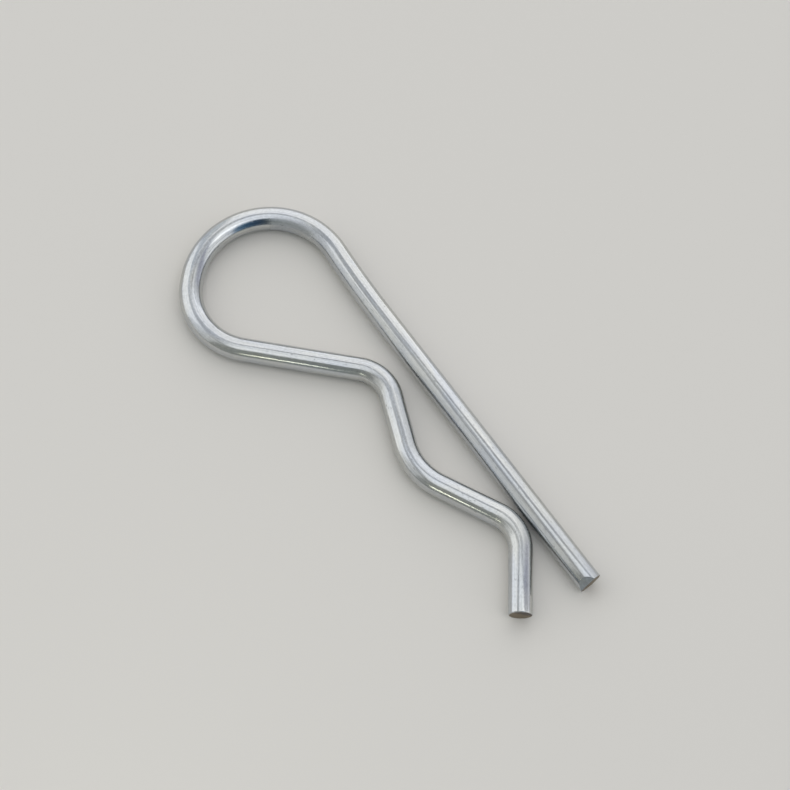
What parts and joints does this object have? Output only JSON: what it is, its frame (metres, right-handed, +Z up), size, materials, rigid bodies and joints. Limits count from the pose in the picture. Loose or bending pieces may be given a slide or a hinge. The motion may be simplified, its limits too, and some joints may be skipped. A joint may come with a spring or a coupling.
{
  "type": "hitch r clip pin",
  "caption": "Spring wire R-clip: the straight leg goes through a shaft's cross hole, the wavy leg grips round the shaft, and a round loop joins the legs and gives a grip to pull it by.",
  "frame": {"origin": "middle of the shaft that the clip holds, on the axis of the straight leg, in the middle plane of the wire", "axes": "+X along the straight leg from its tip to the loop, +Y from the straight leg to the bent leg, +Z up out of the plane that the wire is bent in"},
  "size_m": [0.111, 0.0379, 0.005],
  "materials": {
    "zinc_plated_steel": "satin"
  },
  "bodies": {
    "root": {"r_clip": "zinc_plated_steel"}
  },
  "joints": []
}
